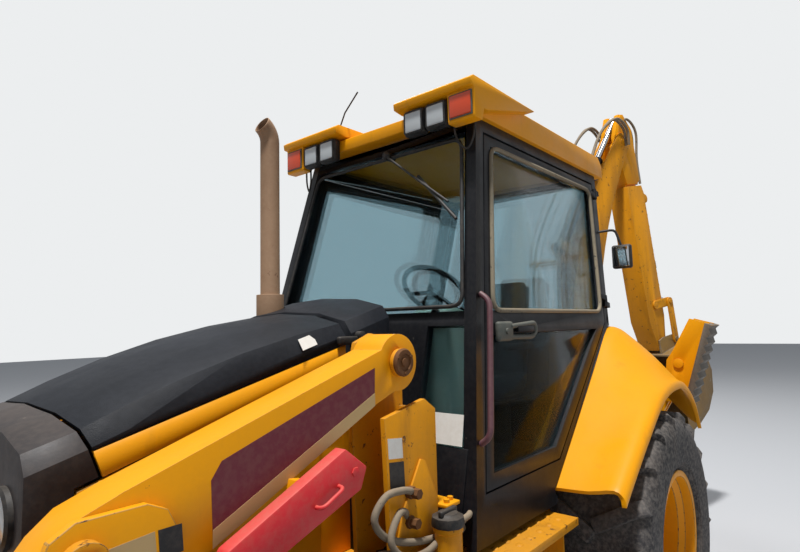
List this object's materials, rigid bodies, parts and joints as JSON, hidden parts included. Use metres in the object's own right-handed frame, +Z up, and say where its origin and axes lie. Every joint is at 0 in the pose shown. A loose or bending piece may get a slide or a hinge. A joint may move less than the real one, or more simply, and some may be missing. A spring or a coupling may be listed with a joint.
{
  "type": "centre-pivot backhoe loader",
  "caption": "Backhoe loader with an enclosed cab, a front bucket on lift arms, a folded swinging hoe and raised stabilisers.",
  "frame": {"origin": "on the ground, under the middle of the whole machine's box with the loader low and the hoe folded", "axes": "+X forward, towards the loader bucket; +Y to the machine's left; +Z up"},
  "size_m": [7.0927, 2.3, 3.6256],
  "materials": {
    "yellow_paint": "glossy construction yellow enamel, dusty and worn at its edges",
    "rim_paint": "yellow enamel under dust",
    "tyre": "black rubber with tan dust",
    "engine_iron": "bare cast iron, oily",
    "nose_paint": "dark grey-brown enamel",
    "hood_black": "grained black anti-glare finish, scuffed",
    "cab_black": "black enamel with worn edges",
    "tinted_glass": "tinted safety glass",
    "exhaust_steel": "heat-browned steel with dust",
    "seat_fabric": "dark woven seat cover",
    "console_plastic": "grey-green moulded plastic",
    "lamp_plastic": "lamp housings and clear lenses",
    "rod_chrome": "hard chrome",
    "cylinder_black": "black enamel",
    "worn_bucket": "worn and rusty yellow enamel over bare steel"
  },
  "bodies": {
    "root": {"chassis_frame": "yellow_paint", "engine_block": "engine_iron", "nose": "nose_paint", "side_panels": "yellow_paint", "cowl": "hood_black", "axles": "yellow_paint", "fenders": "yellow_paint", "cab_frame": "cab_black", "cab_roof": "yellow_paint", "cab_glass": "tinted_glass", "tank_steps": "yellow_paint", "exhaust": "exhaust_steel", "seat": "seat_fabric", "console": "console_plastic", "lamps": "lamp_plastic"},
    "hood": {"hood": "hood_black"},
    "left_door": {"left_door": "cab_black", "left_door_glass": "tinted_glass"},
    "right_door": {"right_door": "cab_black", "right_door_glass": "tinted_glass"},
    "knuckle_left": {"knuckle_left": "yellow_paint"},
    "knuckle_right": {"knuckle_right": "yellow_paint"},
    "steering_rod": {"steering_rod": "rod_chrome"},
    "front_wheel_left": {"front_tyre_left": "tyre", "front_rim_left": "rim_paint"},
    "front_wheel_right": {"front_tyre_right": "tyre", "front_rim_right": "rim_paint"},
    "rear_wheel_left": {"rear_tyre_left": "tyre", "rear_rim_left": "rim_paint"},
    "rear_wheel_right": {"rear_tyre_right": "tyre", "rear_rim_right": "rim_paint"},
    "loader_arms": {"loader_arms": "yellow_paint"},
    "lift_barrels": {"lift_barrels": "cylinder_black"},
    "lift_rods": {"lift_rods": "rod_chrome"},
    "tilt_levers": {"tilt_levers": "yellow_paint"},
    "tilt_links": {"tilt_links": "yellow_paint"},
    "tilt_barrels": {"tilt_barrels": "cylinder_black"},
    "tilt_rods": {"tilt_rods": "rod_chrome"},
    "loader_bucket": {"loader_bucket": "worn_bucket"},
    "swing_frame": {"swing_frame": "yellow_paint"},
    "boom": {"boom": "yellow_paint"},
    "stick": {"stick": "yellow_paint"},
    "stick_extension": {"stick_extension": "yellow_paint"},
    "hoe_bucket": {"hoe_bucket": "worn_bucket"},
    "hoe_rocker": {"hoe_rocker": "yellow_paint"},
    "hoe_link": {"hoe_link": "yellow_paint"},
    "boom_barrel": {"boom_barrel": "cylinder_black"},
    "boom_rod": {"boom_rod": "rod_chrome"},
    "stick_barrel": {"stick_barrel": "cylinder_black"},
    "stick_rod": {"stick_rod": "rod_chrome"},
    "crowd_barrel": {"crowd_barrel": "cylinder_black"},
    "crowd_rod": {"crowd_rod": "rod_chrome"},
    "leg_left": {"leg_left": "yellow_paint"},
    "leg_right": {"leg_right": "yellow_paint"},
    "foot_left": {"foot_left": "yellow_paint"},
    "foot_right": {"foot_right": "yellow_paint"},
    "leg_barrel_left": {"leg_barrel_left": "cylinder_black"},
    "leg_barrel_right": {"leg_barrel_right": "cylinder_black"},
    "leg_rod_left": {"leg_rod_left": "rod_chrome"},
    "leg_rod_right": {"leg_rod_right": "rod_chrome"}
  },
  "joints": [
    {"name": "hood_lid", "type": "hinge", "parent": "root", "child": "hood", "pos_m": [0.903, 0, 1.773], "axis": [0, -1, 0], "range_deg": [0, 55]},
    {"name": "left_door_hinge", "type": "hinge", "parent": "root", "child": "left_door", "pos_m": [-0.98681, 0.68493, 1.75156], "axis": [-0.1914, -0.1094, 0.9754], "range_deg": [0, 85]},
    {"name": "right_door_hinge", "type": "hinge", "parent": "root", "child": "right_door", "pos_m": [-0.98681, -0.68493, 1.75156], "axis": [0.1914, -0.1094, -0.9754], "range_deg": [0, 85]},
    {"name": "steer_left", "type": "hinge", "parent": "root", "child": "knuckle_left", "pos_m": [1.346, 0.78, 0.47], "axis": [0, 0, 1], "range_deg": [-38, 38]},
    {"name": "steer_right", "type": "hinge", "parent": "root", "child": "knuckle_right", "pos_m": [1.346, -0.78, 0.47], "axis": [0, 0, 1], "range_deg": [-38.5, 38.5]},
    {"name": "steering_rod_slide", "type": "slide", "parent": "root", "child": "steering_rod", "axis": [0, 1, 0], "range_m": [-0.09, 0.09]},
    {"name": "front_wheel_left_roll", "type": "hinge", "parent": "knuckle_left", "child": "front_wheel_left", "pos_m": [1.346, 0.947, 0.47], "axis": [0, 1, 0], "continuous": true},
    {"name": "rear_wheel_left_roll", "type": "hinge", "parent": "root", "child": "rear_wheel_left", "pos_m": [-0.754, 0.857, 0.63], "axis": [0, 1, 0], "continuous": true},
    {"name": "front_wheel_right_roll", "type": "hinge", "parent": "knuckle_right", "child": "front_wheel_right", "pos_m": [1.346, -0.947, 0.47], "axis": [0, 1, 0], "continuous": true},
    {"name": "rear_wheel_right_roll", "type": "hinge", "parent": "root", "child": "rear_wheel_right", "pos_m": [-0.754, -0.857, 0.63], "axis": [0, 1, 0], "continuous": true},
    {"name": "loader_lift", "type": "hinge", "parent": "root", "child": "loader_arms", "pos_m": [0.916, 0, 1.612], "axis": [0, -1, 0], "range_deg": [0, 94]},
    {"name": "lift_barrel_turn", "type": "hinge", "parent": "root", "child": "lift_barrels", "pos_m": [0.846, 0, 0.92], "axis": [0, -1, 0], "range_deg": [-0.2, 59.42]},
    {"name": "lift_rod_slide", "type": "slide", "parent": "lift_barrels", "child": "lift_rods", "axis": [0.9751, 0, 0.2216], "range_m": [-0.0005, 0.7224]},
    {"name": "bucket_tilt", "type": "hinge", "parent": "loader_arms", "child": "loader_bucket", "pos_m": [2.626, 0, 0.3], "axis": [0, 1, 0], "range_deg": [-40, 110]},
    {"name": "tilt_lever_turn", "type": "hinge", "parent": "loader_arms", "child": "tilt_levers", "pos_m": [1.846, 0, 1.12], "axis": [0, 1, 0], "range_deg": [-40.5, 110.5]},
    {"name": "tilt_link_turn", "type": "hinge", "parent": "tilt_levers", "child": "tilt_links", "pos_m": [1.895, 0, 1.293], "axis": [0, 1, 0], "range_deg": [-110.5, 40.5]},
    {"name": "tilt_barrel_turn", "type": "hinge", "parent": "loader_arms", "child": "tilt_barrels", "pos_m": [1.126, 0, 1.4], "axis": [0, -1, 0], "range_deg": [-1.62, 0.72]},
    {"name": "tilt_rod_slide", "type": "slide", "parent": "tilt_barrels", "child": "tilt_rods", "axis": [0.984, 0, -0.1784], "range_m": [-0.0872, 0.2388]},
    {"name": "swing", "type": "hinge", "parent": "root", "child": "swing_frame", "pos_m": [-1.84, 0, 0.73], "axis": [0, 0, 1], "range_deg": [-74, 106]},
    {"name": "boom_lower", "type": "hinge", "parent": "swing_frame", "child": "boom", "pos_m": [-2.12261, 0.08104, 0.69], "axis": [-0.2756, -0.9613, 0], "range_deg": [0, 110]},
    {"name": "boom_barrel_turn", "type": "hinge", "parent": "swing_frame", "child": "boom_barrel", "pos_m": [-2.02649, 0.05347, 0.98], "axis": [-0.2756, -0.9613, 0], "range_deg": [-0.2, 117.35]},
    {"name": "boom_rod_slide", "type": "slide", "parent": "boom_barrel", "child": "boom_rod", "axis": [-0.0055, 0.0016, 1], "range_m": [-0.0005, 0.4757]},
    {"name": "stick_open", "type": "hinge", "parent": "boom", "child": "stick", "pos_m": [-2.66669, 0.23705, 3.33], "axis": [0.2756, 0.9613, 0], "range_deg": [0, 105]},
    {"name": "stick_barrel_turn", "type": "hinge", "parent": "boom", "child": "stick_barrel", "pos_m": [-1.89191, 0.01488, 2.34], "axis": [-0.2756, -0.9613, 0], "range_deg": [-5.73, 0.2]},
    {"name": "stick_rod_slide", "type": "slide", "parent": "stick_barrel", "child": "stick_rod", "axis": [-0.5392, 0.1546, 0.8278], "range_m": [-0.3485, 0.0005]},
    {"name": "stick_extend", "type": "slide", "parent": "stick", "child": "stick_extension", "axis": [-0.1654, 0.0474, -0.9851], "range_m": [0, 1]},
    {"name": "hoe_bucket_turn", "type": "hinge", "parent": "stick_extension", "child": "hoe_bucket", "pos_m": [-3.04357, 0.34512, 1.52065], "axis": [0.2756, 0.9613, 0], "range_deg": [-75, 75]},
    {"name": "rocker_turn", "type": "hinge", "parent": "stick_extension", "child": "hoe_rocker", "pos_m": [-2.9857, 0.32853, 1.8654], "axis": [0.2756, 0.9613, 0], "range_deg": [-75.5, 75.5]},
    {"name": "hoe_link_turn", "type": "hinge", "parent": "hoe_rocker", "child": "hoe_link", "pos_m": [-3.17507, 0.38283, 1.8998], "axis": [0.2756, 0.9613, 0], "range_deg": [-75.5, 75.5]},
    {"name": "crowd_barrel_turn", "type": "hinge", "parent": "stick_extension", "child": "crowd_barrel", "pos_m": [-2.98937, 0.32958, 2.8608], "axis": [-0.2756, -0.9613, 0], "range_deg": [-0.4925, 0.4925]},
    {"name": "crowd_rod_slide", "type": "slide", "parent": "crowd_barrel", "child": "crowd_rod", "axis": [-0.1894, 0.0543, -0.9804], "range_m": [-0.1951, 0.1951]},
    {"name": "stabiliser_left", "type": "hinge", "parent": "root", "child": "leg_left", "pos_m": [-1.604, 0.35, 0.42], "axis": [1, 0, 0], "range_deg": [-78, 0]},
    {"name": "foot_left_turn", "type": "hinge", "parent": "leg_left", "child": "foot_left", "pos_m": [-1.604, 0.93, 1.45], "axis": [1, 0, 0], "range_deg": [-0.2, 4.49]},
    {"name": "leg_barrel_left_turn", "type": "hinge", "parent": "root", "child": "leg_barrel_left", "pos_m": [-1.604, 0.07, 1.2], "axis": [1, 0, 0], "range_deg": [-8.39, 0.2]},
    {"name": "leg_rod_left_slide", "type": "slide", "parent": "leg_barrel_left", "child": "leg_rod_left", "axis": [0, 0.7209, -0.6931], "range_m": [-0.0005, 0.4719]},
    {"name": "stabiliser_right", "type": "hinge", "parent": "root", "child": "leg_right", "pos_m": [-1.604, -0.35, 0.42], "axis": [-1, 0, 0], "range_deg": [-78, 0]},
    {"name": "foot_right_turn", "type": "hinge", "parent": "leg_right", "child": "foot_right", "pos_m": [-1.604, -0.93, 1.45], "axis": [-1, 0, 0], "range_deg": [-0.2, 4.49]},
    {"name": "leg_barrel_right_turn", "type": "hinge", "parent": "root", "child": "leg_barrel_right", "pos_m": [-1.604, -0.07, 1.2], "axis": [-1, 0, 0], "range_deg": [-8.39, 0.2]},
    {"name": "leg_rod_right_slide", "type": "slide", "parent": "leg_barrel_right", "child": "leg_rod_right", "axis": [0, -0.7209, -0.6931], "range_m": [-0.0005, 0.4719]}
  ],
  "couplings": [
    {"joint": "steer_right", "follows": "steer_left", "ratio": 1},
    {"joint": "steering_rod_slide", "follows": "steer_left", "m_per_rad": -0.13},
    {"joint": "lift_barrel_turn", "follows": "loader_lift", "ratio": 0.63},
    {"joint": "lift_rod_slide", "follows": "loader_lift", "m_per_rad": 0.44},
    {"joint": "tilt_lever_turn", "follows": "bucket_tilt", "ratio": 1},
    {"joint": "tilt_link_turn", "follows": "bucket_tilt", "ratio": -1},
    {"joint": "tilt_barrel_turn", "follows": "bucket_tilt", "ratio": -0.0129},
    {"joint": "tilt_rod_slide", "follows": "bucket_tilt", "m_per_rad": 0.12413},
    {"joint": "boom_barrel_turn", "follows": "boom_lower", "ratio": 1.065},
    {"joint": "boom_rod_slide", "follows": "boom_lower", "m_per_rad": 0.2475},
    {"joint": "stick_barrel_turn", "follows": "stick_open", "ratio": -0.0527},
    {"joint": "stick_rod_slide", "follows": "stick_open", "m_per_rad": -0.18987},
    {"joint": "rocker_turn", "follows": "hoe_bucket_turn", "ratio": 1},
    {"joint": "hoe_link_turn", "follows": "hoe_bucket_turn", "ratio": -1},
    {"joint": "crowd_barrel_turn", "follows": "hoe_bucket_turn", "ratio": -0.0039},
    {"joint": "crowd_rod_slide", "follows": "hoe_bucket_turn", "m_per_rad": -0.14866},
    {"joint": "foot_left_turn", "follows": "stabiliser_left", "ratio": -0.055},
    {"joint": "leg_barrel_left_turn", "follows": "stabiliser_left", "ratio": 0.105},
    {"joint": "leg_rod_left_slide", "follows": "stabiliser_left", "m_per_rad": -0.34627},
    {"joint": "foot_right_turn", "follows": "stabiliser_right", "ratio": -0.055},
    {"joint": "leg_barrel_right_turn", "follows": "stabiliser_right", "ratio": 0.105},
    {"joint": "leg_rod_right_slide", "follows": "stabiliser_right", "m_per_rad": -0.34627}
  ]
}
